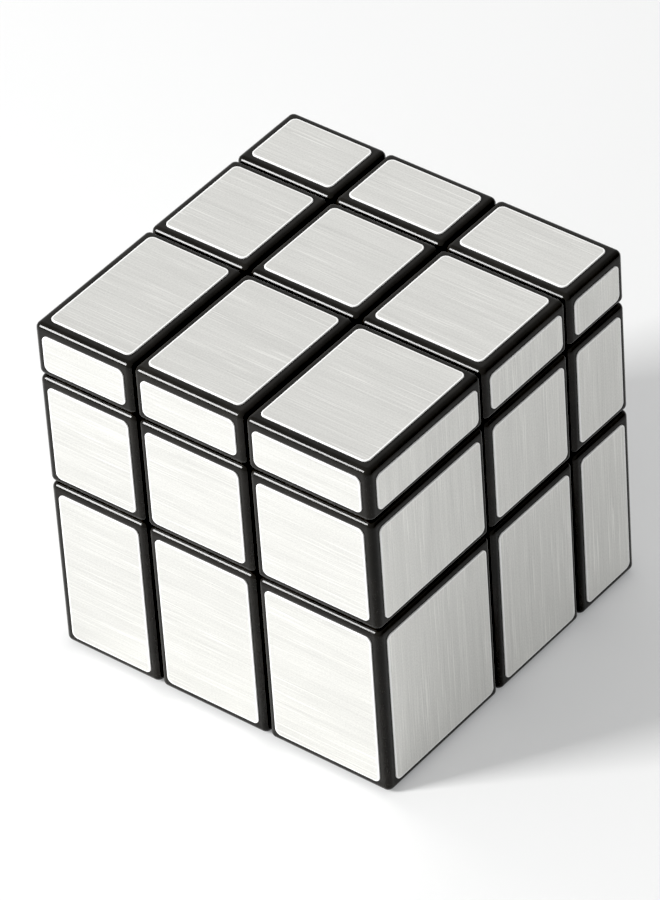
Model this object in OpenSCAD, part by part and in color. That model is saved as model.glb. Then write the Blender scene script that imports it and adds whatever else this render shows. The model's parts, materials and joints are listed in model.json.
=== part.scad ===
/* [Layers] */
// Thickness of the middle layer on all three axes
middle_t = 19; // [18.6:0.1:19.6]
// Thickness of the left layer
left_t = 17; // [9:0.5:30]
// Thickness of the right layer
right_t = 21; // [9:0.5:30]
// Thickness of the front layer
front_t = 25; // [9:0.5:30]
// Thickness of the back layer
back_t = 13; // [9:0.5:30]
// Thickness of the bottom layer
bottom_t = 29; // [9:0.5:30]
// Thickness of the top layer
top_t = 9; // [9:0.5:30]

/* [Plastic pieces] */
// Rounding along the edges of each piece
edge_r = 1; // [0.4:0.1:1.2]
// Wall of the hollow shells
wall = 1.6; // [1.2:0.1:1.7]
// Gap between neighbouring pieces
gap = 0.2; // [0.1:0.05:0.3]
// Thickness of the caps on the centres
cap_t = 1.2; // [1:0.1:1.3]

/* [Stickers] */
// Thickness of the foil plates
sticker_t = 0.2; // [0.1:0.05:0.3]
// Plastic left bare between a foil plate and the edge of its face
sticker_margin = 1.5; // [1.2:0.1:2]
// Corner radius of the foil plates
sticker_r = 0.9; // [0.5:0.1:2]

/* [Mechanism] */
// How far the hooks reach in behind the cut between two layers
hook_depth = 3; // [2.6:0.1:3]
// Radius of the circle that the hooks run in
ring_r = 16; // [15.7:0.1:16]
// Diameter of the screws
screw_d = 3; // [2.6:0.1:3]
// Length of the screws under the head
screw_l = 12; // [10:0.5:12]
// Wire diameter of the springs
wire_d = 0.5; // [0.4:0.05:0.6]
// Turns of each spring
spring_turns = 4; // [3:1:5]

/* [Hidden] */
$fn = 64;
half = middle_t / 2;
low = [left_t, front_t, bottom_t];
high = [right_t, back_t, top_t];
// Core centre, with the origin under the middle of the cube
centre = [(left_t - right_t) / 2, (front_t - back_t) / 2, sticker_t + bottom_t + half];

// Mechanism, measured from the core centre
side_w = half - gap / 2;
neck_w = half - hook_depth - gap / 2;
hook_in = half - hook_depth + gap / 2;
hook_out = ring_r + 1;
slot_r = ring_r + gap / 2;
foot_r = ring_r - gap / 2;
foot_room = 10;
ball_r = 6;
arm_r = 3.2;
arm_end = 8.5;
neck_start = 6.8;
hub_r = arm_r + 0.08;
floor_start = 8.8;
floor_t = 1.3;
bore_r = 3.9;
cavity_start = slot_r + wall;
cavity_w = side_w - wall;
spigot_wall = 1;
spigot_deep = 2;
spigot_shallow = 0.5;

// Screw, washer and spring stack on each arm
washer_t = 0.5;
washer_r = 3.5;
head_r = 2.9;
head_t = 1.9;
head_edge = 1.2;
head_top_r = 2.3;
drive_w = 0.7;
drive_l = 3.2;
drive_deep = 1;
spring_r = 2.7;
spring_start = floor_start + floor_t;
spring_l = 4;
washer_start = spring_start + spring_l;
head_start = washer_start + washer_t;
shank_r = screw_d / 2 - 0.05;
pilot_r = screw_d / 2;
floor_hole_r = shank_r + 0.08;

SIDES = [["left", "right"], ["front", "back"], ["bottom", "top"]];
LAYERS = ["bottom", "middle", "top"];
GRID = [for (z = [-1:1], y = [-1:1], x = [-1:1]) [x, y, z]];
function faces_of(s) = abs(s[0]) + abs(s[1]) + abs(s[2]);
CENTRES = [for (s = GRID) if (faces_of(s) == 1) s];
EDGES = [for (s = GRID) if (faces_of(s) == 2) s];
CORNERS = [for (s = GRID) if (faces_of(s) == 3) s];

function side(i, f) = f == 0 ? "" : str("_", SIDES[i][f < 0 ? 0 : 1]);
function place(s) = str(side(2, s[2]), side(1, s[1]), side(0, s[0]));
function names(word, pieces) = [for (s = pieces) str(word, place(s))];

// Bounds of a piece along axis i, where f is -1, 0 or 1 for its layer
function cell_lo(i, f) = f == 0 ? -half : f > 0 ? half : -half - low[i];
function cell_hi(i, f) = f == 0 ? half : f > 0 ? half + high[i] : -half;
function block_lo(s, inset = 0) = [for (i = [0:2]) cell_lo(i, s[i]) + (s[i] < 0 ? 0 : gap / 2) + inset];
function block_hi(s, inset = 0) = [for (i = [0:2]) cell_hi(i, s[i]) - (s[i] > 0 ? 0 : gap / 2) - inset];

// Distance from the core centre to the outer face of a centre piece
function reach(s) = half + [for (i = [0:2]) if (s[i] != 0) s[i] < 0 ? low[i] : high[i]][0];

// True for a centre that is tall enough for a hollow above its spring
function has_cavity(s) = reach(s) - cap_t - spigot_deep > cavity_start;

module box(a, b) {
    translate(a) cube(b - a);
}

module rounded_rect(a, b, r) {
    d = b - a;
    translate(a) {
        translate([r, 0]) square([d[0] - 2 * r, d[1]]);
        translate([0, r]) square([d[0], d[1] - 2 * r]);
        for (x = [r, d[0] - r], y = [r, d[1] - r]) translate([x, y]) circle(r);
    }
}

// Box from a to b with every edge and corner rounded
module rounded_box(a, b, r) {
    d = b - a;
    xs = [r, d[0] - r];
    ys = [r, d[1] - r];
    zs = [r, d[2] - r];
    translate(a) {
        translate([0, r, r]) cube([d[0], d[1] - 2 * r, d[2] - 2 * r]);
        translate([r, 0, r]) cube([d[0] - 2 * r, d[1], d[2] - 2 * r]);
        translate([r, r, 0]) cube([d[0] - 2 * r, d[1] - 2 * r, d[2]]);
        for (x = xs, y = ys) translate([x, y, r]) cylinder(r = r, h = d[2] - 2 * r);
        for (x = xs, z = zs) translate([x, r, z]) rotate([-90, 0, 0]) cylinder(r = r, h = d[1] - 2 * r);
        for (y = ys, z = zs) translate([r, y, z]) rotate([0, 90, 0]) cylinder(r = r, h = d[0] - 2 * r);
        for (x = xs, y = ys, z = zs) translate([x, y, z]) sphere(r);
    }
}

// Turns +Z onto axis i
module along(i) {
    rotate(i == 0 ? [0, 90, 0] : i == 1 ? [-90, 0, 0] : [0, 0, 0]) children();
}

// Turns +Z onto the arm that points to centre s
module on_arm(s) {
    rotate([-90 * s[1] + (s[2] < 0 ? 180 : 0), 90 * s[0], 0]) children();
}

// Round slot about axis i, on both sides of the middle layer, which the hooks run in
module ring_slots(i, r) {
    length = hook_depth + gap;
    along(i) for (z = [neck_w, -neck_w - length]) translate([0, 0, z]) cylinder(r = r, h = length);
}

module ring(outer, inner, length) {
    difference() {
        cylinder(r = outer, h = length);
        translate([0, 0, -1]) cylinder(r = inner, h = length + 2);
    }
}

// Six-armed core
module core() {
    color("dimgray") translate(centre) difference() {
        union() {
            sphere(ball_r);
            for (i = [0:2]) along(i) cylinder(r = arm_r, h = 2 * arm_end, center = true);
        }
        for (s = CENTRES) on_arm(s) translate([0, 0, head_start - screw_l - 0.5])
            cylinder(r = pilot_r, h = screw_l);
    }
}

module cross_drive() {
    for (a = [0, 90]) rotate(a) translate([-drive_l / 2, -drive_w / 2, 0]) cube([drive_l, drive_w, drive_deep + 1]);
}

module screw() {
    difference() {
        union() {
            translate([0, 0, head_start - screw_l]) cylinder(r = shank_r, h = screw_l + 1);
            translate([0, 0, head_start]) cylinder(r = head_r, h = head_edge);
            translate([0, 0, head_start + head_edge])
                cylinder(r1 = head_r, r2 = head_top_r, h = head_t - head_edge);
        }
        translate([0, 0, head_start + head_t - drive_deep]) cross_drive();
    }
}

module centre_screws() {
    color("silver") translate(centre) for (s = CENTRES) on_arm(s) screw();
}

module screw_washers() {
    color("silver") translate(centre) for (s = CENTRES) on_arm(s)
        translate([0, 0, washer_start]) ring(washer_r, floor_hole_r, washer_t);
}

// Coil of round wire that stands on z = 0
module coil(r, wire, length, turns) {
    per_turn = 12;
    sides = 6;
    steps = per_turn * turns;
    points = [for (k = [0:steps], j = [0:sides - 1])
        let (turn = 360 * k / per_turn, around = 360 * j / sides, q = r + wire / 2 * cos(around))
        [q * cos(turn), q * sin(turn), wire / 2 + (length - wire) * k / steps + wire / 2 * sin(around)]];
    skin = [for (k = [0:steps - 1], j = [0:sides - 1])
        let (a = k * sides + j, b = k * sides + (j + 1) % sides)
        [a, b, b + sides, a + sides]];
    first = [[for (j = [sides - 1:-1:0]) j]];
    last = [[for (j = [0:sides - 1]) steps * sides + j]];
    polyhedron(points, concat(skin, first, last));
}

module spring(s) {
    color("lightgray") translate(centre) on_arm(s) translate([0, 0, spring_start])
        coil(spring_r, wire_d, spring_l, spring_turns);
}

// Centre housing: a neck on the arm, a floor for the spring and a head that the hooks hold in
module centre_housing(s) {
    top = reach(s) - cap_t;
    color("#181818") translate(centre) on_arm(s) difference() {
        union() {
            translate([0, 0, half + gap / 2]) linear_extrude(top - half - gap / 2)
                rounded_rect([-side_w, -side_w], [side_w, side_w], edge_r);
            box([-neck_w, -neck_w, neck_start], [neck_w, neck_w, half + 1]);
        }
        for (i = [0, 1]) ring_slots(i, slot_r);
        translate([0, 0, neck_start - 1]) cylinder(r = hub_r, h = floor_start - neck_start + 1);
        translate([0, 0, floor_start - 1]) cylinder(r = floor_hole_r, h = floor_t + 2);
        translate([0, 0, floor_start + floor_t]) cylinder(r = bore_r, h = top);
        if (has_cavity(s)) box([-cavity_w, -cavity_w, cavity_start], [cavity_w, cavity_w, top + 1]);
    }
}

// Cap that closes a centre housing
module centre_cap(s) {
    top = reach(s);
    seat = top - cap_t;
    color("#181818") translate(centre) on_arm(s) {
        intersection() {
            rounded_box([-side_w, -side_w, seat - 2 * edge_r], [side_w, side_w, top], edge_r);
            box([-side_w, -side_w, seat], [side_w, side_w, top]);
        }
        if (has_cavity(s)) translate([0, 0, seat - spigot_deep]) difference() {
            inner = cavity_w - spigot_wall;
            box([-cavity_w, -cavity_w, 0], [cavity_w, cavity_w, spigot_deep]);
            box([-inner, -inner, -1], [inner, inner, spigot_deep + 1]);
        }
        else translate([0, 0, seat - spigot_shallow]) ring(bore_r, bore_r - spigot_wall, spigot_shallow);
    }
}

// Claw of an edge or a corner, with the plug that closes its shell
module foot(s) {
    a = [for (f = s) f == 0 ? -neck_w : f > 0 ? hook_in : -hook_out];
    b = [for (f = s) f == 0 ? neck_w : f > 0 ? hook_out : -hook_in];
    difference() {
        intersection() {
            box(a, b);
            for_each_side(s) cylinder(r = foot_r, h = 2 * hook_out, center = true);
        }
        sphere(foot_room);
    }
}

// The child turned about each axis on which piece s has an outer face, and intersected
module for_each_side(s) {
    used = [for (i = [0:2]) if (s[i] != 0) i];
    intersection_for(i = used) along(i) children();
}

module feet(pieces, layer) {
    color("#202020") translate(centre) for (s = pieces) if (s[2] == layer) foot(s);
}

module corner_shell(s) {
    color("#141414") translate(centre) difference() {
        rounded_box(block_lo(s), block_hi(s), edge_r);
        box(block_lo(s, wall), block_hi(s, wall));
        foot(s);
    }
}

module edge_shell(s) {
    free = [for (i = [0:2]) if (s[i] == 0) i][0];
    color("#141414") translate(centre) difference() {
        rounded_box(block_lo(s), block_hi(s), edge_r);
        difference() {
            box(block_lo(s, wall), block_hi(s, wall));
            ring_slots(free, slot_r + wall);
        }
        ring_slots(free, slot_r);
        foot(s);
    }
}

// Foil plate on the side of piece s that faces along axis i
module sticker(s, i) {
    j = (i + 1) % 3;
    k = (i + 2) % 3;
    a = [cell_lo(j, s[j]), cell_lo(k, s[k])] + [sticker_margin, sticker_margin];
    b = [cell_hi(j, s[j]), cell_hi(k, s[k])] - [sticker_margin, sticker_margin];
    at = s[i] > 0 ? cell_hi(i, 1) : cell_lo(i, -1) - sticker_t;
    // Carries the plate's x, y and z onto axes j, k and i
    turn = i == 0 ? [90, 0, 90] : i == 1 ? [0, -90, -90] : [0, 0, 0];
    rotate(turn) translate([0, 0, at]) linear_extrude(sticker_t) rounded_rect(a, b, sticker_r);
}

module centre_sticker(s) {
    i = [for (i = [0:2]) if (s[i] != 0) i][0];
    color("silver") translate(centre) sticker(s, i);
}

// Foil plates on edges and corners of one layer, on the axes given
module layer_stickers(layer, axes) {
    color("silver") translate(centre)
        for (s = concat(EDGES, CORNERS)) if (s[2] == layer)
            for (i = axes) if (s[i] != 0) sticker(s, i);
}

core();
centre_screws();
screw_washers();
for (s = CENTRES) {
    spring(s);
    centre_housing(s);
    centre_cap(s);
    centre_sticker(s);
}
for (s = EDGES) edge_shell(s);
for (s = CORNERS) corner_shell(s);
for (f = [-1:1]) feet(EDGES, f);
for (f = [-1, 1]) feet(CORNERS, f);
layer_stickers(-1, [2]);  // stickers_bottom_face
layer_stickers(-1, [0, 1]);  // stickers_bottom_sides
layer_stickers(0, [0, 1]);  // stickers_middle
layer_stickers(1, [0, 1]);  // stickers_top_sides
layer_stickers(1, [2]);  // stickers_top_face
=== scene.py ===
"""Layered puzzle cube: moulded plastic pieces with foil plates around a sprung, six-armed core."""

import json
import math
import random

import bmesh
import bpy
from bpy.props import (
    FloatProperty,
    FloatVectorProperty,
    IntProperty,
    PointerProperty,
)
from mathutils import Matrix, Vector

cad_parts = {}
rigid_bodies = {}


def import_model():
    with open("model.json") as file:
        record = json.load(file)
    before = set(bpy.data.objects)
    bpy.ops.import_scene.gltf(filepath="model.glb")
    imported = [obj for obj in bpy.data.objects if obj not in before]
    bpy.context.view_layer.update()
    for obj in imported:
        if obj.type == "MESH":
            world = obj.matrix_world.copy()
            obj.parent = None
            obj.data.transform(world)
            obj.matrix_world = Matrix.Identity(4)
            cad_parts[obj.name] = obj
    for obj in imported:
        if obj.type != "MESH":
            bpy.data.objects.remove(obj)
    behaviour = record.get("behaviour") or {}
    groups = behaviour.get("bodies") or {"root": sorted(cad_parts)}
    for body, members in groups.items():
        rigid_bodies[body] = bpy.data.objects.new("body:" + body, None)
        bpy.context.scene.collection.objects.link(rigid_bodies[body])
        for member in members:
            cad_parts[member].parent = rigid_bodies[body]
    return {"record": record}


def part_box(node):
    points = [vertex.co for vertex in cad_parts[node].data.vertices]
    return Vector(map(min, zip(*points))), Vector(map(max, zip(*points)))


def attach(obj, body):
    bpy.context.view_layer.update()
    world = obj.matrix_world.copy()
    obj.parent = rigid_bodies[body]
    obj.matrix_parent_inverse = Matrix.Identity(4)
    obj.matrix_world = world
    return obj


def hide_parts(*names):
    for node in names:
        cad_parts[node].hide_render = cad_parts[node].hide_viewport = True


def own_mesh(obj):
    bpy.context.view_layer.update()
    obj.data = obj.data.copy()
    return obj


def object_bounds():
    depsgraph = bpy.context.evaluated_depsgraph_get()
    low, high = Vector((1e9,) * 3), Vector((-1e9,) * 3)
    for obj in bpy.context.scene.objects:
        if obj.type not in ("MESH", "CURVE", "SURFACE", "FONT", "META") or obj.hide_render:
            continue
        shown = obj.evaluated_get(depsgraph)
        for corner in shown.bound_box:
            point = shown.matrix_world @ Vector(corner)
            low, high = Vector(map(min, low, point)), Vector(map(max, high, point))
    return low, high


bl_info = {
    "name": "Layered Puzzle Cube",
    "version": (1, 0, 0),
    "blender": (4, 5, 0),
    "location": "3D View > Sidebar > Puzzle Cube",
    "description": "Builds the plastic, foil and steel pieces of a twisting puzzle cube",
    "category": "Object",
}

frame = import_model()
CAD_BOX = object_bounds()

# Sizes read from the frame, in metres
MM = 0.001
SIDES = (("left", "right"), ("front", "back"), ("bottom", "top"))
LAYERS = ("bottom", "middle", "top")
GRID = [(x, y, z) for z in (-1, 0, 1) for y in (-1, 0, 1) for x in (-1, 0, 1)]
CENTRES = [s for s in GRID if sum(map(abs, s)) == 1]
EDGES = [s for s in GRID if sum(map(abs, s)) == 2]
CORNERS = [s for s in GRID if sum(map(abs, s)) == 3]
BODY_OF = {n: b for b, ns in frame["record"]["behaviour"]["bodies"].items() for n in ns}

core_low, core_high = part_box("core")
CORE = (core_low + core_high) / 2
ARM_END = (core_high - core_low).x / 2
cap_low, cap_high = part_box("centre_cap_top")
plate_low, plate_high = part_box("centre_sticker_top")
edge_foot_low, edge_foot_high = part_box("edge_feet_middle")
corner_foot_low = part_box("corner_feet_top")[0]
washer_low, washer_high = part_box("screw_washers")
screw_low, screw_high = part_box("centre_screws")
spring_low, spring_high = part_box("spring_top")
SIDE_W = (cap_high - cap_low).x / 2
NECK_W = (edge_foot_high - edge_foot_low).z / 2
FOOT_R = (edge_foot_high - edge_foot_low).x / 2
HOOK_IN = corner_foot_low.z - CORE.z
GAP = HOOK_IN - NECK_W
HALF = SIDE_W + GAP / 2
SLOT_R = FOOT_R + GAP
PLATE_T = (plate_high - plate_low).z
PLATE_INSET = (cap_high.x - cap_low.x - plate_high.x + plate_low.x) / 2
WASHER_OUT = (washer_high - washer_low).x / 2
SCREW_OUT = (screw_high - screw_low).x / 2
SPRING_IN = spring_low.z - CORE.z
SPRING_OUT = spring_high.z - CORE.z

WASHER_EASE = 0.08 * MM
SHANK_LAP = 0.3 * MM
HEAD_EASE = 0.1 * MM
CROWN_START = 0.35
RIM_SHARE = 0.97
RECESS_DEPTH = 1.5
DIM_TOWARDS = (0.73, 0.68, -0.9)
COOL_LIGHT = (0.88, 0.94, 1.0)
TABLE_LIGHT = (0.97, 0.985, 1.0, 1)


def side_word(i, f):
    return "" if f == 0 else "_" + SIDES[i][f > 0]


def place(s):
    """The words for where piece s sits, such as _top_front_left."""
    return side_word(2, s[2]) + side_word(1, s[1]) + side_word(0, s[0])


# ---------------------------------------------------------------- node trees


class Wire:
    """A socket of a node tree, so that node maths reads as an expression."""

    def __init__(self, tree, socket):
        self.tree, self.socket = tree, socket

    def maths(self, operation, a, b=None):
        wires = [x for x in (a, b) if isinstance(x, Wire)]
        vector = any(w.socket.type == "VECTOR" for w in wires)
        kind = "ShaderNodeVectorMath" if vector else "ShaderNodeMath"
        values = {}
        for slot, x in enumerate((a, b)):
            if x is not None:
                number = vector and isinstance(x, (int, float))
                values[slot] = (x, x, x) if number else x
        return self.tree.node(kind, {"operation": operation}, values)

    def __add__(self, other):
        return self.maths("ADD", self, other)

    def __radd__(self, other):
        return self.maths("ADD", other, self)

    def __sub__(self, other):
        return self.maths("SUBTRACT", self, other)

    def __rsub__(self, other):
        return self.maths("SUBTRACT", other, self)

    def __mul__(self, other):
        return self.maths("MULTIPLY", self, other)

    def __rmul__(self, other):
        return self.maths("MULTIPLY", other, self)

    def __truediv__(self, other):
        return self.maths("DIVIDE", self, other)

    def apply(self, operation):
        """A function of this wire alone, such as SINE or NORMALIZE."""
        return self.maths(operation, self)

    def other(self, name):
        """Another output of the same node."""
        return Wire(self.tree, self.socket.node.outputs[name])


class Tree:
    """A node tree that is built one node at a time."""

    def __init__(self, nodes):
        self.nodes = nodes

    def node(self, kind, settings=None, values=None, out=0):
        """One node: its settings, then values or wires for its sockets. Gives one output."""
        made = self.nodes.nodes.new(kind)
        for key, value in (settings or {}).items():
            if key == "stops":
                self.set_stops(made.color_ramp, value)
            else:
                setattr(made, key, value)
        for key, value in (values or {}).items():
            if isinstance(value, Wire):
                self.nodes.links.new(value.socket, made.inputs[key])
            else:
                made.inputs[key].default_value = value
        return Wire(self, made.outputs[out]) if len(made.outputs) else None

    @staticmethod
    def set_stops(ramp, stops):
        while len(ramp.elements) < len(stops):
            ramp.elements.new(1.0)
        for element, (at, grey) in zip(ramp.elements, stops):
            element.position = at
            element.color = (grey, grey, grey, 1)

    def mix_colours(self, share, a, b):
        """Colour a where share is 0, and colour b where it is 1."""
        settings = {"data_type": "RGBA"}
        return self.node("ShaderNodeMix", settings, {0: share, 6: a, 7: b}, out=2)

    def noise(self, vector, scale, detail=2.0, rough=0.5):
        values = {"Vector": vector, "Scale": scale, "Detail": detail, "Roughness": rough}
        return self.node("ShaderNodeTexNoise", None, values)


def geometry_tree(name, inputs):
    """A geometry tree with named inputs: (name, socket kind, default). Gives tree and wires."""
    group = bpy.data.node_groups.new(name, "GeometryNodeTree")
    for label, kind, default in inputs:
        socket = group.interface.new_socket(label, in_out="INPUT", socket_type=kind)
        socket.default_value = default
    group.interface.new_socket("Mesh", in_out="OUTPUT", socket_type="NodeSocketGeometry")
    tree = Tree(group)
    entry = group.nodes.new("NodeGroupInput")
    return tree, {label: Wire(tree, entry.outputs[label]) for label, _, _ in inputs}


def end_tree(tree, shape, material):
    """Realize Instances, Set Material and the tree's output."""
    plain = tree.node("GeometryNodeRealizeInstances", None, {0: shape})
    dressed = tree.node(
        "GeometryNodeSetMaterial", None, {"Geometry": plain, "Material": material}
    )
    tree.node("NodeGroupOutput", None, {0: dressed})
    return tree.nodes


def grow(group, values, name):
    """The plain mesh that a geometry tree makes from these named values."""
    holder = bpy.data.objects.new(name, bpy.data.meshes.new(name))
    bpy.context.scene.collection.objects.link(holder)
    modifier = holder.modifiers.new("Grow", "NODES")
    modifier.node_group = group
    for item in group.interface.items_tree:
        if item.in_out == "INPUT" and item.name in values:
            modifier[item.identifier] = values[item.name]
    mesh = evaluated(holder, name)
    modifier.node_group = None
    bpy.data.objects.remove(holder)
    return mesh


# ---------------------------------------------------------------- meshes


def evaluated(holder, name):
    """A plain mesh of the object with its modifiers applied."""
    graph = bpy.context.evaluated_depsgraph_get()
    mesh = bpy.data.meshes.new_from_object(holder.evaluated_get(graph))
    mesh.name = name
    return mesh


def mesh_from(build, name):
    """A mesh that the function build fills in."""
    work = bmesh.new()
    build(work)
    bmesh.ops.recalc_face_normals(work, faces=work.faces)
    mesh = bpy.data.meshes.new(name)
    work.to_mesh(mesh)
    work.free()
    return mesh


def box_mesh(low, high):
    low, high = Vector(low), Vector(high)
    size = Matrix.Diagonal((*(high - low), 1))

    def build(work):
        bmesh.ops.create_cube(work, size=1, matrix=Matrix.Translation((low + high) / 2) @ size)

    return mesh_from(build, "box")


def cylinder_mesh(radius, start, end, matrix, top_radius=None, segments=144):
    """A cylinder or cone along the matrix's Z from start to end."""
    middle = Matrix.Translation((0, 0, (start + end) / 2))
    top = radius if top_radius is None else top_radius

    def build(work):
        bmesh.ops.create_cone(
            work,
            cap_ends=True,
            segments=segments,
            radius1=radius,
            radius2=top,
            depth=end - start,
            matrix=matrix @ middle,
        )

    return mesh_from(build, "cylinder")


def ball_mesh(radius, centre):
    def build(work):
        at = Matrix.Translation(centre)
        bmesh.ops.create_uvsphere(
            work, u_segments=96, v_segments=48, radius=radius, matrix=at
        )

    return mesh_from(build, "ball")


def lathe_mesh(profile, matrix, segments=96):
    """A solid of revolution about the matrix's Z from points (radius, height)."""

    def build(work):
        rings = []
        for radius, height in profile:
            turns = [2 * math.pi * k / segments for k in range(segments)]
            ring = [
                work.verts.new(matrix @ Vector((radius * math.cos(a), radius * math.sin(a), height)))
                for a in turns
            ]
            rings.append(ring)
        for a, b in zip(rings, rings[1:] + rings[:1]):
            for k in range(segments):
                work.faces.new((a[k], a[k - 1], b[k - 1], b[k]))

    return mesh_from(build, "lathe")


def along(i):
    """Turns +Z onto axis i, about the core centre."""
    turns = (
        Matrix.Rotation(math.pi / 2, 4, "Y"),
        Matrix.Rotation(-math.pi / 2, 4, "X"),
        Matrix.Identity(4),
    )
    return Matrix.Translation(CORE) @ turns[i]


def on_arm(s):
    """Turns +Z onto the arm that points to centre s."""
    about_x = math.radians(-90 * s[1] + (180 if s[2] < 0 else 0))
    about_y = math.radians(90 * s[0])
    turn = Matrix.Rotation(about_y, 4, "Y") @ Matrix.Rotation(about_x, 4, "X")
    return Matrix.Translation(CORE) @ turn


def carved(base, steps, name):
    """The base mesh after a row of (operation, mesh) steps."""
    scene = bpy.context.scene.collection.objects
    holder = bpy.data.objects.new(name, base)
    scene.link(holder)
    tools = []
    for operation, tool_mesh in steps:
        tool = bpy.data.objects.new("tool", tool_mesh)
        scene.link(tool)
        tools.append(tool)
        cut = holder.modifiers.new("Cut", "BOOLEAN")
        cut.solver = "MANIFOLD"
        cut.operation = operation
        cut.object = tool
    mesh = evaluated(holder, name)
    bpy.data.objects.remove(holder)
    for tool in tools:
        bpy.data.objects.remove(tool)
    return mesh


def cleaned(mesh):
    """The mesh without the slivers and the needless edges that cutting leaves."""
    work = bmesh.new()
    work.from_mesh(mesh)
    bmesh.ops.remove_doubles(work, verts=work.verts, dist=2e-6)
    bmesh.ops.dissolve_degenerate(work, edges=work.edges, dist=2e-6)
    bmesh.ops.dissolve_limit(
        work,
        angle_limit=math.radians(0.5),
        verts=work.verts,
        edges=work.edges,
    )
    work.to_mesh(mesh)
    work.free()
    return mesh


def smoothed(mesh, name, width=0.0, segments=1):
    """The mesh with its sharp edges rounded, its flats kept flat and its curves smooth."""
    holder = bpy.data.objects.new(name, mesh)
    bpy.context.scene.collection.objects.link(holder)
    if width:
        bevel = holder.modifiers.new("Round", "BEVEL")
        bevel.width = width
        bevel.segments = segments
        bevel.limit_method = "ANGLE"
        bevel.angle_limit = math.radians(50)
        bevel.use_clamp_overlap = True
    mesh.shade_smooth()
    mesh.set_sharp_from_angle(angle=math.radians(50))
    weighted = holder.modifiers.new("Flats", "WEIGHTED_NORMAL")
    weighted.keep_sharp = True
    weighted.weight = 100
    done = evaluated(holder, name)
    bpy.data.objects.remove(holder)
    return done


def make_piece(name, mesh, material, node):
    """A finished object on the body that its CAD node is on, standing for that node."""
    mesh.name = name
    mesh.materials.clear()
    mesh.materials.append(material)
    piece = bpy.data.objects.new(name, mesh)
    bpy.context.scene.collection.objects.link(piece)
    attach(piece, BODY_OF[node])
    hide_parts(node)
    return piece


# ---------------------------------------------------------------- materials


def new_material(name):
    """An empty material as a tree, with its Principled shader's node."""
    material = bpy.data.materials.new(name)
    material.use_nodes = True
    material.node_tree.nodes.clear()
    tree = Tree(material.node_tree)
    shader = tree.node("ShaderNodeBsdfPrincipled")
    tree.node("ShaderNodeOutputMaterial", None, {"Surface": shader})
    return material, tree, shader.socket.node


def set_shader(tree, shader, values):
    for key, value in values.items():
        if isinstance(value, Wire):
            tree.nodes.links.new(value.socket, shader.inputs[key])
        else:
            shader.inputs[key].default_value = value


def place_in_mm(tree):
    return tree.node("ShaderNodeTexCoord", out=3) * 1000.0


def bump(tree, height, depth, strength=1.0):
    values = {"Height": height, "Distance": depth, "Strength": strength}
    return tree.node("ShaderNodeBump", None, values)


def plastic(name, colour, roughness, spread, peel_depth, shine=0.5):
    """Moulded plastic: skin texture, handling marks and a little colour drift."""
    material, tree, shader = new_material(name)
    where = place_in_mm(tree)
    marks = tree.noise(where, 0.22, 5.0, 0.62)
    skin = tree.noise(where, 2.6, 3.0, 0.55)
    lighter = tuple(min(1.0, c * 1.7) for c in colour[:3]) + (1,)
    worn = tree.node("ShaderNodeValToRGB", {"stops": ((0.42, 0), (0.68, 1))}, {0: marks})
    set_shader(
        tree,
        shader,
        {
            "Base Color": tree.mix_colours(worn, (*colour[:3], 1), lighter),
            "Roughness": roughness + (marks - 0.5) * spread + (skin - 0.5) * spread * 0.6,
            "Normal": bump(tree, skin + marks * 0.6, peel_depth),
            "IOR": 1.46,
            "Specular IOR Level": shine,
        },
    )
    return material


def foil(name, settings):
    """Brushed metal foil: hairlines and soft bands along the plate's own U direction, and a painted
    highlight along the rim.
    """
    material, tree, shader = new_material(name)
    brush = tree.node("ShaderNodeUVMap", {"uv_map": "brush"})

    def streaks(length, width, detail, rough):
        scale = tree.node(
            "ShaderNodeVectorMath",
            {"operation": "MULTIPLY"},
            {0: brush, 1: (1 / length, 1 / width, 1.0)},
        )
        return tree.noise(scale, 1.0, detail, rough)

    hair = streaks(9.0, 0.16, 3.0, 0.6)
    fine = streaks(22.0, 0.35, 2.0, 0.5)
    bands = streaks(60.0, 2.4, 3.0, 0.55)
    patches = streaks(14.0, 3.5, 2.0, 0.5)
    speckle = streaks(0.30, 0.14, 1.0, 0.5)
    cuts = streaks(16.0, 0.22, 1.0, 0.5)
    bright_cuts = tree.node("ShaderNodeValToRGB", {"stops": ((0.62, 0), (0.74, 1))}, {0: cuts})
    strength = tree.node("ShaderNodeValToRGB", {"stops": ((0.35, 0.35), (0.65, 1))}, {0: patches})
    grain = ((hair - 0.5) * 0.9 + (fine - 0.5) * 0.7) * strength
    base = settings.foil_colour
    dark = tuple(c * 0.80 for c in base[:3]) + (1,)
    light = tuple(min(1.0, c * 1.16) for c in base[:3]) + (1,)
    share = grain * 1.15 + (bands - 0.5) * 0.5 + (speckle - 0.5) * 0.8 + 0.5 + bright_cuts * strength * 1.3
    clamped = tree.node("ShaderNodeClamp", None, {0: share})
    # Painted highlight: where the 'pale' layer is set, the rim is painted near-white and less metallic, so
    # it stays bright under any light
    rim = tree.node("ShaderNodeAttribute", {"attribute_name": "pale"}, out=2)
    brushed = tree.mix_colours(clamped, dark, light)
    set_shader(
        tree,
        shader,
        {
            "Base Color": tree.mix_colours(rim, brushed, (*settings.painted_rim_highlight_colour, 1)),
            "Metallic": 1.0 - rim * 0.85,
            "Roughness": settings.foil_roughness + grain * 0.10 + (bands - 0.5) * 0.05 + rim * 0.1,
            "Normal": bump(tree, grain + bright_cuts * 0.25, settings.hairline_depth * MM),
        },
    )
    return material


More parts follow.
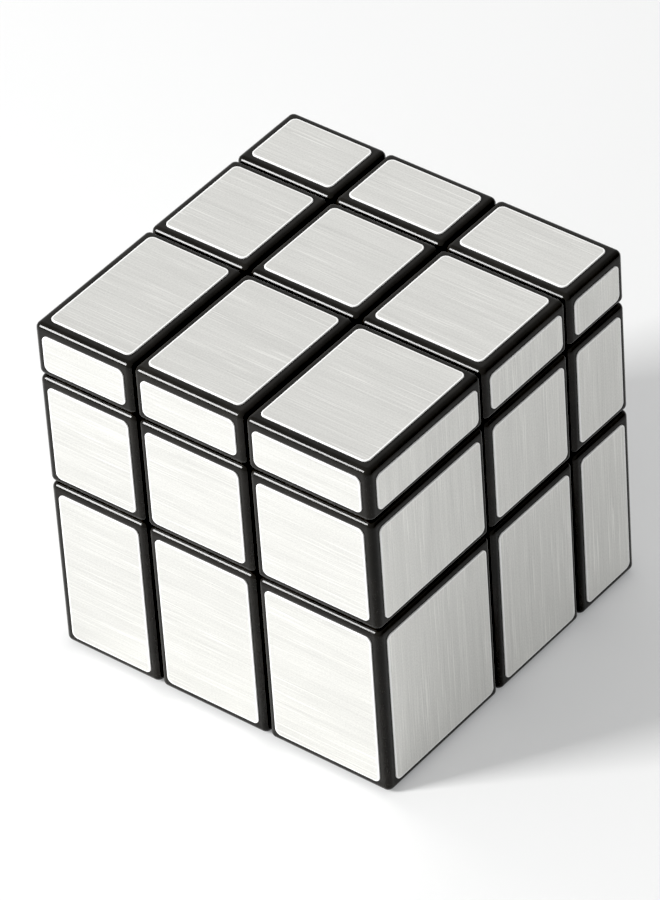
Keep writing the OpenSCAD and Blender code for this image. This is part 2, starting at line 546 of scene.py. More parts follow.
def bright_steel(name, colour, roughness):
    """Plated steel with faint turning marks and a few dull spots."""
    material, tree, shader = new_material(name)
    where = place_in_mm(tree)
    spots = tree.noise(where, 0.9, 4.0, 0.6)
    grain = tree.noise(where, 9.0, 2.0, 0.5)
    dull = tuple(c * 0.72 for c in colour[:3]) + (1,)
    set_shader(
        tree,
        shader,
        {
            "Base Color": tree.mix_colours(spots, (*colour[:3], 1), dull),
            "Metallic": 1.0,
            "Roughness": roughness + (spots - 0.5) * 0.16 + (grain - 0.5) * 0.08,
            "Normal": bump(tree, grain, 0.004 * MM),
        },
    )
    return material


def material_of(name):
    """The named finish, made the first time it is asked for."""
    found = bpy.data.materials.get(name)
    if found:
        return found
    looks = bpy.context.scene.cube_looks
    makers = {
        "outer plastic": lambda: plastic(
            name, looks.outer_colour, looks.outer_roughness, 0.05, 0.002 * MM, 0.23
        ),
        "inner plastic": lambda: plastic(
            name, looks.inner_colour, looks.inner_roughness, 0.12, 0.006 * MM, 0.3
        ),
        "core plastic": lambda: plastic(name, looks.core_colour, 0.48, 0.18, 0.012 * MM),
        "brushed foil": lambda: foil(name, looks),
        "plated steel": lambda: bright_steel(name, looks.steel_colour, 0.26),
        "spring wire": lambda: bright_steel(name, looks.wire_colour, 0.32),
    }
    return makers[name]()


# ---------------------------------------------------------------- shapes


def rounded_block_tree():
    """A box with rounded edges and corners: a cube whose points are moved by one rule."""
    tree, wire = geometry_tree(
        "Rounded block",
        (
            ("Low", "NodeSocketVector", (0, 0, 0)),
            ("High", "NodeSocketVector", (1, 1, 1)),
            ("Radius", "NodeSocketFloat", 0.1),
            ("Steps", "NodeSocketInt", 4),
            ("Material", "NodeSocketMaterial", None),
        ),
    )
    steps, radius = wire["Steps"], wire["Radius"]
    count = steps * 2 + 2
    cube = tree.node(
        "GeometryNodeMeshCube",
        None,
        {
            "Size": (1, 1, 1),
            "Vertices X": count,
            "Vertices Y": count,
            "Vertices Z": count,
        },
    )
    at = tree.node("GeometryNodeInputPosition")
    upper = at.apply("SIGN") * 0.5 + 0.5
    index = ((at + 0.5) * (count - 1) + 0.5).apply("FLOOR")
    # From -1 at one outer face, over 0 all along the flat, to 1 at the other
    across = (index - steps - upper) / steps
    outwards = (across * (math.pi / 4)).apply("TANGENT").apply("NORMALIZE")
    flat = wire["High"] - wire["Low"] - radius * 2
    moved = wire["Low"] + radius + flat * upper + outwards * radius
    shaped = tree.node("GeometryNodeSetPosition", None, {"Geometry": cube, "Position": moved})
    return end_tree(tree, shaped, wire["Material"])


def block_mesh(low, high, shape):
    """The rounded block from low to high."""
    group = bpy.data.node_groups.get("Rounded block") or rounded_block_tree()
    values = {
        "Low": tuple(low),
        "High": tuple(high),
        "Radius": shape.fillet * MM,
        "Steps": shape.fillet_steps,
    }
    return grow(group, values, "block")


def foot_mesh(s):
    """The claw of edge or corner s and the plug that closes its shell."""
    reach = SLOT_R + MM
    low = [(-NECK_W if f == 0 else HOOK_IN if f > 0 else -reach) for f in s]
    high = [(NECK_W if f == 0 else reach if f > 0 else -HOOK_IN) for f in s]
    steps = [
        ("INTERSECT", cylinder_mesh(FOOT_R, -reach, reach, along(i)))
        for i in range(3)
        if s[i]
    ]
    room = bpy.context.scene.cube_shape.foot_room * MM
    steps.append(("DIFFERENCE", ball_mesh(room, CORE)))
    return carved(box_mesh(CORE + Vector(low), CORE + Vector(high)), steps, "foot")


def slot_meshes(i, radius):
    """The two round slots about axis i, on both sides of the middle layer."""
    end = HALF + GAP
    spans = ((NECK_W, end), (-end, -NECK_W))
    return [cylinder_mesh(radius, a, b, along(i)) for a, b in spans]


def shell_mesh(s, node, shape):
    """A hollow corner or edge, open where its foot closes it."""
    low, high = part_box(node)
    wall = Vector((shape.wall, shape.wall, shape.wall)) * MM
    free = [i for i in range(3) if s[i] == 0]
    hollow = box_mesh(low + wall, high - wall)
    steps = []
    for i in free:
        behind = [("DIFFERENCE", m) for m in slot_meshes(i, SLOT_R + wall.x)]
        hollow = carved(hollow, behind, "hollow")
        steps += [("DIFFERENCE", m) for m in slot_meshes(i, SLOT_R)]
    steps += [("DIFFERENCE", hollow), ("DIFFERENCE", foot_mesh(s))]
    return carved(block_mesh(low, high, shape), steps, node)


def arm_reach(s):
    """How far the plastic of centre s reaches from the core centre."""
    low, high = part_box("centre_cap" + place(s))
    ends = [max(abs(low[i] - CORE[i]), abs(high[i] - CORE[i])) for i in range(3) if s[i]]
    return ends[0]


def has_cavity(s, shape):
    return arm_reach(s) - (shape.cap + shape.spigot) * MM > SLOT_R + shape.wall * MM


def square_mesh(half_width, start, end):
    return box_mesh((-half_width, -half_width, start), (half_width, half_width, end))


def housing_mesh(s, shape):
    """A centre's housing: neck, spring floor and the head that the hooks hold in."""
    top = arm_reach(s) - shape.cap * MM
    round_over = 3 * shape.fillet * MM
    low = (-SIDE_W, -SIDE_W, HALF - round_over)
    high = (SIDE_W, SIDE_W, top + round_over)
    neck_start = shape.neck_start * MM
    floor_start = SPRING_IN - shape.floor * MM
    upright = Matrix.Identity(4)
    arm_hole = (shape.arm_radius + shape.running_gap) * MM
    screw_hole = shape.screw_hole * MM
    bore = shape.bore * MM
    turned = Matrix.Translation(-CORE)
    steps = [
        ("INTERSECT", square_mesh(SIDE_W + MM, HALF + GAP / 2, top)),
        ("UNION", square_mesh(NECK_W, neck_start, HALF + MM)),
    ]
    for i in (0, 1):
        for slot in slot_meshes(i, SLOT_R):
            slot.transform(turned)
            steps.append(("DIFFERENCE", slot))
    steps += [
        ("DIFFERENCE", cylinder_mesh(arm_hole, neck_start - MM, floor_start, upright)),
        ("DIFFERENCE", cylinder_mesh(screw_hole, neck_start, SPRING_IN + MM, upright)),
        ("DIFFERENCE", cylinder_mesh(bore, SPRING_IN, top + MM, upright)),
    ]
    if has_cavity(s, shape):
        inside = SIDE_W - shape.wall * MM
        steps.append(("DIFFERENCE", square_mesh(inside, SLOT_R + shape.wall * MM, top + MM)))
    return carved(block_mesh(low, high, shape), steps, "housing")


def cap_mesh(s, shape):
    """The cap that closes a housing, with a spigot that fits its mouth."""
    top = arm_reach(s)
    seat = top - shape.cap * MM
    under = seat - 3 * shape.fillet * MM
    rim = shape.spigot_wall * MM
    upright = Matrix.Identity(4)
    block = block_mesh((-SIDE_W, -SIDE_W, under), (SIDE_W, SIDE_W, top), shape)
    steps = [("INTERSECT", square_mesh(SIDE_W + MM, seat, top + MM))]
    if has_cavity(s, shape):
        inside = SIDE_W - shape.wall * MM
        start = seat - shape.spigot * MM
        steps.append(("UNION", square_mesh(inside, start, seat + rim / 2)))
        steps.append(("DIFFERENCE", square_mesh(inside - rim, start - MM, seat)))
    else:
        bore = shape.bore * MM
        start = seat - shape.short_spigot * MM
        steps.append(("UNION", cylinder_mesh(bore, start, seat + rim / 2, upright)))
        steps.append(("DIFFERENCE", cylinder_mesh(bore - rim, start - MM, seat, upright)))
    return carved(block, steps, "cap")


def core_mesh(shape):
    """Six arms on a ball, each with its screw's pilot hole."""
    arm = shape.arm_radius * MM
    steps = [("UNION", cylinder_mesh(arm, -ARM_END, ARM_END, along(i))) for i in range(3)]
    pilot = shape.pilot_hole * MM
    start = SCREW_OUT - (shape.head + shape.screw_length + 0.5) * MM
    steps += [("DIFFERENCE", cylinder_mesh(pilot, start, ARM_END + MM, on_arm(s))) for s in CENTRES]
    return carved(ball_mesh(shape.ball_radius * MM, CORE), steps, "core")


def thread_tree():
    """A screw's shank: a fine-meshed rod whose radius follows a thread."""
    tree, wire = geometry_tree(
        "Screw thread",
        (
            ("Radius", "NodeSocketFloat", 1.5 * MM),
            ("Depth", "NodeSocketFloat", 0.3 * MM),
            ("Pitch", "NodeSocketFloat", 1.0 * MM),
            ("Length", "NodeSocketFloat", 12.0 * MM),
            ("Plain", "NodeSocketFloat", 3.0 * MM),
            ("Material", "NodeSocketMaterial", None),
        ),
    )
    rod = tree.node(
        "GeometryNodeMeshCylinder",
        {"fill_type": "NGON"},
        {
            "Vertices": 40,
            "Side Segments": 120,
            "Fill Segments": 1,
            "Radius": wire["Radius"],
            "Depth": wire["Length"],
        },
    )
    at = tree.node("GeometryNodeInputPosition")
    parts = tree.node("ShaderNodeSeparateXYZ", None, {0: at})
    x, y, z = parts, parts.other("Y"), parts.other("Z")
    turn = x.maths("ARCTAN2", y, x) / (2 * math.pi)
    height = z + wire["Length"] / 2
    phase = (height / wire["Pitch"] - turn + 4.0).apply("FRACT")
    ridge = (phase * 2.0 - 1.0).apply("ABSOLUTE")
    # The crest narrows, the point tapers and the plain part under the head has no thread
    groove = x.maths("MINIMUM", ridge * 1.6, 1.0)
    left = (wire["Length"] - wire["Plain"] - height) / wire["Pitch"]
    fade = x.maths("MAXIMUM", x.maths("MINIMUM", left, 1.0), 0.0)
    taper = x.maths("MINIMUM", height / (wire["Radius"] * 1.6) * 0.5 + 0.5, 1.0)
    radius = (wire["Radius"] - wire["Depth"] * groove * fade) * taper
    scale = radius / wire["Radius"]
    flat = tree.node("ShaderNodeCombineXYZ", None, {0: x * scale, 1: y * scale, 2: height})
    shaped = tree.node("GeometryNodeSetPosition", None, {"Geometry": rod, "Position": flat})
    return end_tree(tree, shaped, wire["Material"])


def screw_mesh(s, shape):
    """Pan-head screw with a cross recess, along the arm of centre s."""
    group = bpy.data.node_groups.get("Screw thread") or thread_tree()
    length = shape.screw_length * MM
    head_start = SCREW_OUT - shape.head * MM
    shank = grow(
        group,
        {
            "Radius": shape.shank_radius * MM,
            "Depth": shape.thread_depth * MM,
            "Pitch": shape.thread_pitch * MM,
            "Length": length + SHANK_LAP,
            "Plain": shape.plain_shank * MM,
        },
        "shank",
    )
    shank.transform(Matrix.Translation((0, 0, head_start - length)))
    head_r = shape.head_radius * MM
    head = shape.head * MM
    crown = [
        (head_r * math.cos(a), head_start + head * CROWN_START + head * 0.65 * math.sin(a))
        for a in (math.radians(d) for d in range(0, 86, 8))
    ]
    profile = [(1e-5, head_start), (head_r * RIM_SHARE, head_start), (head_r, head_start + HEAD_EASE)]
    upright = Matrix.Identity(4)
    dome = lathe_mesh(profile + crown + [(1e-5, SCREW_OUT)], upright)
    steps = [("UNION", shank)]
    recess, width, deep = shape.drive_length * MM, shape.drive_width * MM, shape.drive_depth * MM
    for a, b in ((recess, width), (width, recess)):
        low = (-a / 2, -b / 2, SCREW_OUT - deep)
        high = (a / 2, b / 2, SCREW_OUT + MM)
        steps.append(("DIFFERENCE", box_mesh(low, high)))
    steps.append(
        (
            "DIFFERENCE",
            cylinder_mesh(
                width * 0.35,
                SCREW_OUT - deep * RECESS_DEPTH,
                SCREW_OUT + MM,
                upright,
                top_radius=recess * 0.42,
                segments=32,
            ),
        )
    )
    made = carved(dome, steps, "screw")
    made.transform(on_arm(s))
    return made


def washer_mesh(s, shape):
    """A flat washer with eased edges, under the screw's head."""
    inner, outer = shape.screw_hole * MM, shape.washer_radius * MM
    start, end = WASHER_OUT - shape.washer * MM, WASHER_OUT
    ease = WASHER_EASE
    profile = [
        (inner, start + ease),
        (inner + ease, start),
        (outer - ease, start),
        (outer, start + ease),
        (outer, end - ease),
        (outer - ease, end),
        (inner + ease, end),
        (inner, end - ease),
    ]
    return lathe_mesh(profile, on_arm(s))


def coil_tree():
    """A compression spring whose end turns lie closer together."""
    tree, wire = geometry_tree(
        "Coil spring",
        (
            ("Mean Radius", "NodeSocketFloat", 2.7 * MM),
            ("Wire", "NodeSocketFloat", 0.5 * MM),
            ("Length", "NodeSocketFloat", 4.0 * MM),
            ("Turns", "NodeSocketFloat", 4.0),
            ("End Closing", "NodeSocketFloat", 0.45),
            ("Material", "NodeSocketMaterial", None),
        ),
    )
    line = tree.node("GeometryNodeCurvePrimitiveLine", None, {"End": (0, 0, 1)})
    points = tree.node("GeometryNodeResampleCurve", None, {"Curve": line, "Count": 161})
    share = tree.node("GeometryNodeSplineParameter")
    turn = share * wire["Turns"] * (2 * math.pi)
    rise = share - (share * (2 * math.pi)).apply("SINE") * wire["End Closing"] / (2 * math.pi)
    height = wire["Wire"] / 2 + (wire["Length"] - wire["Wire"]) * rise
    x = turn.apply("COSINE") * wire["Mean Radius"]
    y = turn.apply("SINE") * wire["Mean Radius"]
    where = tree.node("ShaderNodeCombineXYZ", None, {0: x, 1: y, 2: height})
    helix = tree.node("GeometryNodeSetPosition", None, {"Geometry": points, "Position": where})
    section = tree.node(
        "GeometryNodeCurvePrimitiveCircle",
        None,
        {"Resolution": 14, "Radius": wire["Wire"] / 2},
    )
    body = tree.node(
        "GeometryNodeCurveToMesh",
        None,
        {"Curve": helix, "Profile Curve": section, "Fill Caps": True},
    )
    return end_tree(tree, body, wire["Material"])


def spring_mesh(s, shape):
    group = bpy.data.node_groups.get("Coil spring") or coil_tree()
    wire = shape.wire * MM
    values = {
        "Mean Radius": shape.spring_radius * MM,
        "Wire": wire,
        "Length": SPRING_OUT - SPRING_IN,
        "Turns": float(shape.turns),
        "End Closing": 0.45,
    }
    mesh = grow(group, values, "spring")
    mesh.transform(on_arm(s) @ Matrix.Translation((0, 0, SPRING_IN)))
    return mesh


def plate_outline(width, height, radius, steps):
    """Points around a rounded rectangle about the origin, anticlockwise."""
    points = []
    for corner, (x, y) in enumerate(((1, 1), (-1, 1), (-1, -1), (1, -1))):
        cx, cy = x * (width / 2 - radius), y * (height / 2 - radius)
        for k in range(steps + 1):
            a = math.pi / 2 * (corner + k / steps)
            points.append((cx + radius * math.cos(a), cy + radius * math.sin(a)))
    return points


def plate_mesh(width, height, shape, seed):
    """A thin foil plate with a rolled rim that carries a painted highlight, and a UV map in millimetres
    along its brushing.
    """
    radius, rim = shape.plate_radius * MM, shape.rim * MM
    # Inset from the outline, height and share of painted rim highlight of each ring of points
    levels = (
        (0.0, 0.0, 1.0),
        (0.0, PLATE_T - rim * 0.8, 1.0),
        (rim * 0.3, PLATE_T - rim * 0.23, 1.0),
        (rim, PLATE_T, 1.0),
        (rim * 2.2, PLATE_T, 0.9),
        (rim * 3.0, PLATE_T, 0.0),
    )

    def build(work):
        # The 'pale' layer marks where the rim's painted highlight goes, full on the rolled edge and fading
        # in across the top
        pale = work.verts.layers.float.new("pale")
        rings = []
        for inset, z, highlight_share in levels:
            outline = plate_outline(width - 2 * inset, height - 2 * inset, radius - inset, 10)
            rings.append([work.verts.new((x, y, z)) for x, y in outline])
            for point in rings[-1]:
                point[pale] = highlight_share
        for a, b in zip(rings, rings[1:]):
            for k in range(len(a)):
                work.faces.new((a[k - 1], a[k], b[k], b[k - 1]))
        work.faces.new(rings[-1])
        work.faces.new(rings[0][::-1])

    mesh = mesh_from(build, "plate")
    uv = mesh.uv_layers.new(name="brush")
    draw = random.Random(seed)
    shift = Vector((draw.uniform(0, 900), draw.uniform(0, 900)))
    for loop in mesh.loops:
        x, y, z = mesh.vertices[loop.vertex_index].co
        uv.data[loop.index].uv = Vector((x, y - z)) / MM + shift
    return mesh


def plate_span(s, j, node):
    """Low and high ends along axis j of the plates on piece s, whose plastic is this node."""
    low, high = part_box(node)
    near = PLATE_INSET + (GAP / 2 if s[j] < 0 else 0)
    far = PLATE_INSET + (GAP / 2 if s[j] > 0 else 0)
    return low[j] + near, high[j] - far


def plate_frame(i, f):
    """Axes (U, V, outwards) of a plate that faces along axis i, U being the brushing."""
    u, v = {0: (2, 1), 1: (0, 2), 2: (0, 1)}[i]
    axes = [Vector([float(k == a) for k in range(3)]) for a in (u, v)]
    out = Vector([float(k == i) * f for k in range(3)])
    if axes[0].cross(axes[1]).dot(out) < 0:
        axes[1] = -axes[1]
    return u, v, axes, out


def placed_plate(s, i, node, shape, seed):
    """The foil plate on the side of piece s that faces along axis i, in its place."""
    u, v, axes, out = plate_frame(i, s[i])
    spans = {j: plate_span(s, j, node) for j in (u, v)}
    width, height = (spans[j][1] - spans[j][0] for j in (u, v))
    mesh = plate_mesh(width, height, shape, seed)
    low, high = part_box(node)
    centre = Vector((0, 0, 0))
    for j in (u, v):
        centre[j] = sum(spans[j]) / 2
    centre[i] = high[i] if s[i] > 0 else low[i]
    draw = random.Random(seed + 500)
    tilt = math.radians(draw.uniform(-1, 1) * shape.plate_turn)
    slip = Vector((draw.uniform(-1, 1), draw.uniform(-1, 1), 0)) * shape.plate_slip * MM
    basis = Matrix((axes[0], axes[1], out)).transposed().to_4x4()
    placed = Matrix.Translation(centre) @ basis @ Matrix.Translation(slip)
    mesh.transform(placed @ Matrix.Rotation(tilt, 4, "Z"))
    return mesh


# ---------------------------------------------------------------- settings


def size(name, words, default, low, high):
    """A length in millimetres."""
    return FloatProperty(name=name, description=words, default=default, min=low, max=high, precision=3)


class CubeShape(bpy.types.PropertyGroup):
    """Sizes in millimetres that the frame's boxes don't give"""

    fillet: size("Fillet", "Rounding of the moulded pieces' edges", 1.0, 0.3, 1.2)
    fillet_steps: IntProperty(
        name="Fillet Steps", description="Faces across half a fillet", default=5, min=2, max=10
    )
    wall: size("Wall", "Wall of the hollow shells", 1.6, 1.0, 1.7)
    foot_room: size("Foot Room", "Radius kept clear around the core", 10.0, 9.0, 11.0)
    inner_edge: size("Inner Edge", "Rounding of the hidden parts' edges", 0.18, 0.05, 0.3)
    cap: size("Cap", "Thickness of the centre caps", 1.2, 1.0, 1.3)
    spigot: size("Spigot", "Depth of a cap's spigot in a deep housing", 2.0, 1.0, 3.0)
    short_spigot: size("Short Spigot", "Depth of the spigot in a shallow housing", 0.5, 0.3, 0.6)
    spigot_wall: size("Spigot Wall", "Wall of the spigots", 1.0, 0.8, 1.2)
    neck_start: size("Neck Start", "Where a housing's neck starts", 6.8, 6.7, 7.0)
    floor: size("Spring Floor", "Thickness of a housing's floor", 1.3, 1.0, 1.5)
    running_gap: size("Running Gap", "Clearance between arm and housing", 0.08, 0.05, 0.1)
    bore: size("Bore", "Radius of the spring's bore", 3.9, 3.7, 4.0)
    screw_hole: size("Screw Hole", "Radius of the hole that the screw passes", 1.53, 1.5, 1.6)
    arm_radius: size("Arm Radius", "Radius of the core's arms", 3.2, 3.0, 3.3)
    ball_radius: size("Ball Radius", "Radius of the core's ball", 6.0, 5.0, 6.5)
    pilot_hole: size("Pilot Hole", "Radius of the core's pilot holes", 1.5, 1.3, 1.5)
    screw_length: size("Screw Length", "Length under the head", 12.0, 10.0, 12.0)
    shank_radius: size("Shank Radius", "Outer radius of the thread", 1.45, 1.2, 1.45)
    thread_depth: size("Thread Depth", "Depth of the thread", 0.3, 0.1, 0.4)
    thread_pitch: size("Thread Pitch", "Rise of the thread a turn", 1.0, 0.6, 1.3)
    plain_shank: size("Plain Shank", "Length without thread under the head", 3.6, 0.0, 6.0)
    head: size("Head", "Height of the screw head", 1.9, 1.5, 2.0)
    head_radius: size("Head Radius", "Radius of the screw head", 2.9, 2.5, 3.2)
    drive_length: size("Drive Length", "Length of the cross recess", 3.2, 2.5, 3.6)
    drive_width: size("Drive Width", "Width of the cross recess", 0.7, 0.5, 0.9)
    drive_depth: size("Drive Depth", "Depth of the cross recess", 1.0, 0.6, 1.2)
    washer: size("Washer", "Thickness of the washers", 0.5, 0.3, 0.6)
    washer_radius: size("Washer Radius", "Outer radius of the washers", 3.5, 3.2, 3.6)
    wire: size("Spring Wire", "Wire diameter of the springs", 0.5, 0.3, 0.6)
    spring_radius: size("Spring Radius", "Mean radius of the springs", 2.7, 2.3, 3.0)
    turns: IntProperty(name="Turns", description="Turns of each spring", default=4, min=3, max=5)
    plate_radius: size("Plate Corner", "Corner radius of the foil plates", 0.9, 0.5, 2.0)
    rim: size("Plate Rim", "Width of the rolled rim of a foil plate", 0.08, 0.05, 0.2)
    plate_slip: size("Plate Slip", "How far a plate may sit off its middle", 0.05, 0.0, 0.1)
    plate_turn: size("Plate Turn", "How far a plate may be turned, in degrees", 0.15, 0.0, 0.3)


def colour(name, words, default):
    return FloatVectorProperty(
        name=name, description=words, default=default, min=0.0, max=1.0, size=3, subtype="COLOR"
    )


def share(name, words, default):
    return FloatProperty(
        name=name, description=words, default=default, min=0.0, max=1.0, subtype="FACTOR"
    )


class CubeLooks(bpy.types.PropertyGroup):
    """Colours and finishes"""

    outer_colour: colour("Outer Plastic", "Glossy black of the outer pieces", (0.0070, 0.0064, 0.0055))
    outer_roughness: share("Outer Roughness", "Roughness of the outer plastic", 0.16)
    inner_colour: colour("Inner Plastic", "Satin black of the hidden pieces", (0.0095, 0.0090, 0.0085))
    inner_roughness: share("Inner Roughness", "Roughness of the hidden plastic", 0.27)
    core_colour: colour("Core", "Dark grey of the core", (0.09, 0.09, 0.095))
    foil_colour: colour("Foil", "Silver of the brushed plates", (0.80, 0.797, 0.768))
    # Foil Rim is a painted highlight along the plates' edges, not a colour the foil has
    painted_rim_highlight_colour: colour("Foil Rim", "Pale cut edge of the plates", (0.92, 0.92, 0.91))
    foil_roughness: share("Foil Roughness", "Roughness across the brushing", 0.40)
    hairline_depth: size("Hairline Depth", "Depth of the brushing", 0.006, 0.0, 0.02)
    steel_colour: colour("Steel", "Plating of screws and washers", (0.66, 0.66, 0.68))
    wire_colour: colour("Wire", "Steel of the springs", (0.56, 0.56, 0.58))


class CubeStudio(bpy.types.PropertyGroup):
    """Camera, lights and floor"""

    azimuth: FloatProperty(
        name="Azimuth",
        description="Camera, round from the front",
        default=math.radians(40.257),
        subtype="ANGLE",
    )
    elevation: FloatProperty(
        name="Elevation",
        description="Camera, up from level",
        default=math.radians(39.643),
        subtype="ANGLE",
    )
    roll: FloatProperty(
        name="Roll", description="Camera, about its own axis", default=math.radians(-4.112), subtype="ANGLE"
    )
    distance: FloatProperty(
        name="Distance", description="Camera to its target", default=0.97656, unit="LENGTH"
    )
    lens: FloatProperty(
        name="Lens", description="Focal length in millimetres for a 36 mm sensor", default=283.4
    )
    target: FloatVectorProperty(
        name="Target", description="Point looked at", default=(-0.00136, -0.00064, 0.02808), unit="LENGTH"
    )
    floor_colour: colour("Floor", "Pale floor", (0.58, 0.58, 0.576))
    key_power: FloatProperty(name="Key Power", description="Front softbox, in watts", default=16.8)
    fill_power: FloatProperty(name="Fill Power", description="Side softbox, in watts", default=0.1)
    rear_power: FloatProperty(name="Rear Power", description="Rear softbox, in watts", default=0.9)
    sky: FloatProperty(name="Sky", description="Strength of the surrounding light", default=0.66)
    dim_side: FloatProperty(name="Dim Side", description="Surround low at the back right", default=0.25)
    floor_glow: FloatProperty(name="Floor Glow", description="Light through the table", default=0.21)
    black_level: FloatProperty(name="Black Level", description="Grey shown as black", default=0.011)


# ---------------------------------------------------------------- operators


class PUZZLE_OT_shells(bpy.types.Operator):
    """Hollow outer shells of the eight corners and twelve edges"""

    bl_idname = "puzzle.shells"
    bl_label = "Corner and Edge Shells"

    def execute(self, context):
        shape = context.scene.cube_shape
        for word, pieces in (("corner", CORNERS), ("edge", EDGES)):
            for s in pieces:
                node = f"{word}_shell{place(s)}"
                mesh = smoothed(cleaned(shell_mesh(s, node, shape)), node)
                finish = material_of("outer plastic")
                make_piece(f"{word}_cover{place(s)}", mesh, finish, node)
        return {"FINISHED"}


class PUZZLE_OT_feet(bpy.types.Operator):
    """Hooked feet of the corners and edges"""

    bl_idname = "puzzle.feet"
    bl_label = "Corner and Edge Feet"

    def execute(self, context):
        shape = context.scene.cube_shape
        for word, pieces in (("corner", CORNERS), ("edge", EDGES)):
            for s in pieces:
                node = f"{word}_feet_{LAYERS[s[2] + 1]}"
                mesh = smoothed(cleaned(foot_mesh(s)), "foot", shape.inner_edge * MM, 2)
                finish = material_of("inner plastic")
                make_piece(f"{word}_foot{place(s)}", mesh, finish, node)
        return {"FINISHED"}


class PUZZLE_OT_centres(bpy.types.Operator):
    """Housings and caps of the six centres"""

    bl_idname = "puzzle.centres"
    bl_label = "Centre Housings and Caps"

    def execute(self, context):
        shape = context.scene.cube_shape
        for s in CENTRES:
            housing = smoothed(cleaned(housing_mesh(s, shape)), "housing")
            cap = smoothed(cleaned(cap_mesh(s, shape)), "cap")
            for mesh in (housing, cap):
                mesh.transform(on_arm(s))
            where = place(s)
            for word, mesh, side in (("housing", housing, "inner"), ("cap", cap, "outer")):
                finish = material_of(side + " plastic")
                make_piece(word + where, mesh, finish, f"centre_{word}{where}")
        return {"FINISHED"}


class PUZZLE_OT_plates(bpy.types.Operator):
    """The 54 brushed foil plates"""

    bl_idname = "puzzle.plates"
    bl_label = "Foil Plates"

    def execute(self, context):
        shape = context.scene.cube_shape
        seed = 1
        for s in CENTRES + EDGES + CORNERS:
            for i in (i for i in range(3) if s[i]):
                plastic_node, node = plate_nodes(s, i)
                mesh = smoothed(placed_plate(s, i, plastic_node, shape, seed), "plate")
                name = f"plate{place(s)}_facing{side_word(i, s[i])}"
                make_piece(name, mesh, material_of("brushed foil"), node)
                seed += 1
        return {"FINISHED"}


def plate_nodes(s, i):
    """The CAD nodes of the plastic under a plate and of the plate's own group."""
    if s in CENTRES:
        return "centre_cap" + place(s), "centre_sticker" + place(s)
    word = "edge" if s in EDGES else "corner"
    layer = LAYERS[s[2] + 1]
    group = "" if s[2] == 0 else "_face" if i == 2 else "_sides"
    return f"{word}_shell{place(s)}", f"stickers_{layer}{group}"


class PUZZLE_OT_core(bpy.types.Operator):
    """The six-armed core"""

    bl_idname = "puzzle.core"
    bl_label = "Core"

    def execute(self, context):
        shape = context.scene.cube_shape
        mesh = smoothed(cleaned(core_mesh(shape)), "core", shape.inner_edge * MM, 2)
        make_piece("six_arm_core", mesh, material_of("core plastic"), "core")
        return {"FINISHED"}


class PUZZLE_OT_hardware(bpy.types.Operator):
    """Screws, washers and springs"""

    bl_idname = "puzzle.hardware"
    bl_label = "Screws, Washers and Springs"

    def execute(self, context):
        shape = context.scene.cube_shape
        for s in CENTRES:
            where = place(s)
            screw = smoothed(cleaned(screw_mesh(s, shape)), "screw")
            make_piece("screw" + where, screw, material_of("plated steel"), "centre_screws")
            washer = smoothed(washer_mesh(s, shape), "washer")
            make_piece("washer" + where, washer, material_of("plated steel"), "screw_washers")
            coil = spring_mesh(s, shape)
            coil.shade_smooth()
            wire = material_of("spring wire")
            spring = make_piece("coil" + where, coil, wire, "spring" + where)
            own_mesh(spring)
        return {"FINISHED"}


class PUZZLE_OT_stage(bpy.types.Operator):
    """Camera, floor and soft studio lights"""

    bl_idname = "puzzle.stage"
    bl_label = "Stage"

    def execute(self, context):
        studio = context.scene.cube_studio
        set_camera(context.scene, studio)
        set_floor(studio)
        set_lights(context.scene, studio)
        set_exposure(context.scene.view_settings, studio)
        return {"FINISHED"}


def looking(azimuth, elevation, roll=0.0):
    """Axes of something that looks at its target from this direction."""
    back = Vector(
        (
            math.sin(azimuth) * math.cos(elevation),
            -math.cos(azimuth) * math.cos(elevation),
            math.sin(elevation),
        )
    )
    right = (-back).cross(Vector((0, 0, 1))).normalized()
    up = right.cross(-back)
    across = right * math.cos(roll) + up * math.sin(roll)
    return across, up * math.cos(roll) - right * math.sin(roll), back


def stand(thing, target, distance, azimuth, elevation, roll=0.0):
    """Puts a camera or a light at that distance, looking at its target."""
    across, up, back = looking(azimuth, elevation, roll)
    turn = Matrix((across, up, back)).transposed().to_4x4()
    thing.matrix_world = Matrix.Translation(Vector(target) + back * distance) @ turn


def set_camera(scene, studio):
    data = bpy.data.cameras.new("Camera")
    data.lens = studio.lens
    data.sensor_width = 36.0
    data.clip_start, data.clip_end = 0.01, 20.0
    camera = bpy.data.objects.new("Camera", data)
    scene.collection.objects.link(camera)
    stand(camera, studio.target, studio.distance, studio.azimuth, studio.elevation, studio.roll)
    scene.camera = camera


def set_exposure(view, studio):
    """Plain display colours, with the deepest greys taken down to black."""
    view.view_transform = "Standard"
    view.use_curve_mapping = True
    view.curve_mapping.black_level = [studio.black_level] * 3
    view.curve_mapping.update()


def set_floor(studio):
    """A pale table with a little light coming up through it."""
    material, tree, shader = new_material("pale floor")
    where = place_in_mm(tree)
    cloud = tree.noise(where, 0.01, 3.0)
    pale = (*studio.floor_colour, 1)
    dim = tuple(c * 0.97 for c in studio.floor_colour) + (1,)
    set_shader(
        tree,
        shader,
        {
            "Base Color": tree.mix_colours(cloud, dim, pale),
            "Roughness": 0.75,
            "Emission Color": TABLE_LIGHT,
            "Emission Strength": studio.floor_glow,
        },
    )
    reach = 3.0
    mesh = box_mesh((-reach, -reach, -0.02), (reach, reach, CAD_BOX[0][2]))
    mesh.materials.append(material)
    floor = bpy.data.objects.new("floor", mesh)
    bpy.context.scene.collection.objects.link(floor)


def softbox(name, power, width, height, distance, azimuth, elevation, tint=(1.0, 1.0, 1.0)):
    data = bpy.data.lights.new(name, "AREA")
    data.shape = "RECTANGLE"
    data.size, data.size_y = width, height
    data.energy = power
    data.color = tint
    light = bpy.data.objects.new(name, data)
    bpy.context.scene.collection.objects.link(light)
    middle = (Vector(CAD_BOX[0]) + Vector(CAD_BOX[1])) / 2
    stand(light, middle, distance, math.radians(azimuth), math.radians(elevation))


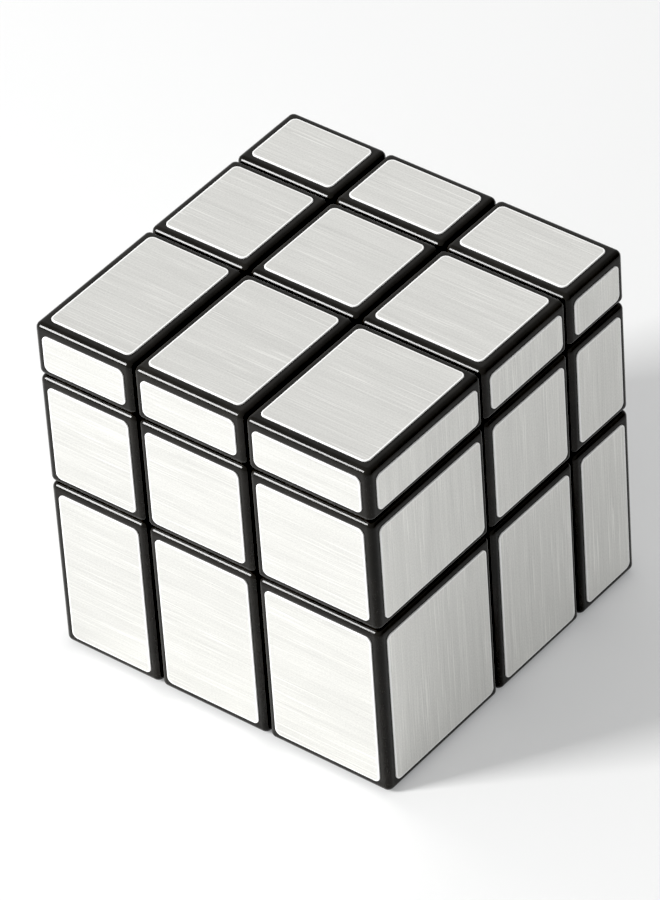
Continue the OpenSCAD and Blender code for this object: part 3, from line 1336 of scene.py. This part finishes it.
def set_lights(scene, studio):
    """A key box at the front left, weaker boxes at the side and behind, and a bright surround."""
    softbox("key", studio.key_power, 0.26, 0.38, 1.1, -38.0, 30.0)
    softbox("fill", studio.fill_power, 0.6, 0.5, 1.3, 97.0, 24.0, COOL_LIGHT)
    softbox("rear", studio.rear_power, 1.2, 0.9, 1.4, 220.0, 40.0)
    world = bpy.data.worlds.new("Studio")
    world.use_nodes = True
    world.node_tree.nodes.clear()
    tree = Tree(world.node_tree)
    direction = tree.node("ShaderNodeTexCoord", out=0)
    towards = tree.node(
        "ShaderNodeVectorMath", {"operation": "DOT_PRODUCT"}, {0: direction, 1: DIM_TOWARDS}, out=1
    )
    side = tree.node("ShaderNodeClamp", None, {0: towards})
    dim = (studio.dim_side,) * 3 + (1,)
    colours = tree.mix_colours(side, (1, 1, 1, 1), dim)
    light = tree.node("ShaderNodeBackground", None, {"Color": colours, "Strength": studio.sky})
    tree.node("ShaderNodeOutputWorld", None, {"Surface": light})
    scene.world = world


class PUZZLE_PT_panel(bpy.types.Panel):
    """Buttons that build the puzzle cube"""

    bl_idname = "PUZZLE_PT_panel"
    bl_label = "Puzzle Cube"
    bl_space_type = "VIEW_3D"
    bl_region_type = "UI"
    bl_category = "Puzzle Cube"

    def draw(self, context):
        for operator in OPERATORS:
            self.layout.operator(operator.bl_idname)
        for group in ("cube_shape", "cube_looks", "cube_studio"):
            settings = getattr(context.scene, group)
            for name in settings.bl_rna.properties.keys():
                if name not in ("rna_type", "name"):
                    self.layout.prop(settings, name)


OPERATORS = (
    PUZZLE_OT_stage,
    PUZZLE_OT_shells,
    PUZZLE_OT_feet,
    PUZZLE_OT_centres,
    PUZZLE_OT_plates,
    PUZZLE_OT_core,
    PUZZLE_OT_hardware,
)
GROUPS = {"cube_shape": CubeShape, "cube_looks": CubeLooks, "cube_studio": CubeStudio}


def register():
    for kind in (*GROUPS.values(), *OPERATORS, PUZZLE_PT_panel):
        bpy.utils.register_class(kind)
    for name, kind in GROUPS.items():
        setattr(bpy.types.Scene, name, PointerProperty(type=kind))


def unregister():
    for name in GROUPS:
        delattr(bpy.types.Scene, name)
    for kind in (PUZZLE_PT_panel, *reversed(OPERATORS), *GROUPS.values()):
        bpy.utils.unregister_class(kind)


def main():
    register()
    for operator in OPERATORS:
        group, name = operator.bl_idname.split(".")
        getattr(getattr(bpy.ops, group), name)()


if __name__ == "__main__":
    main()
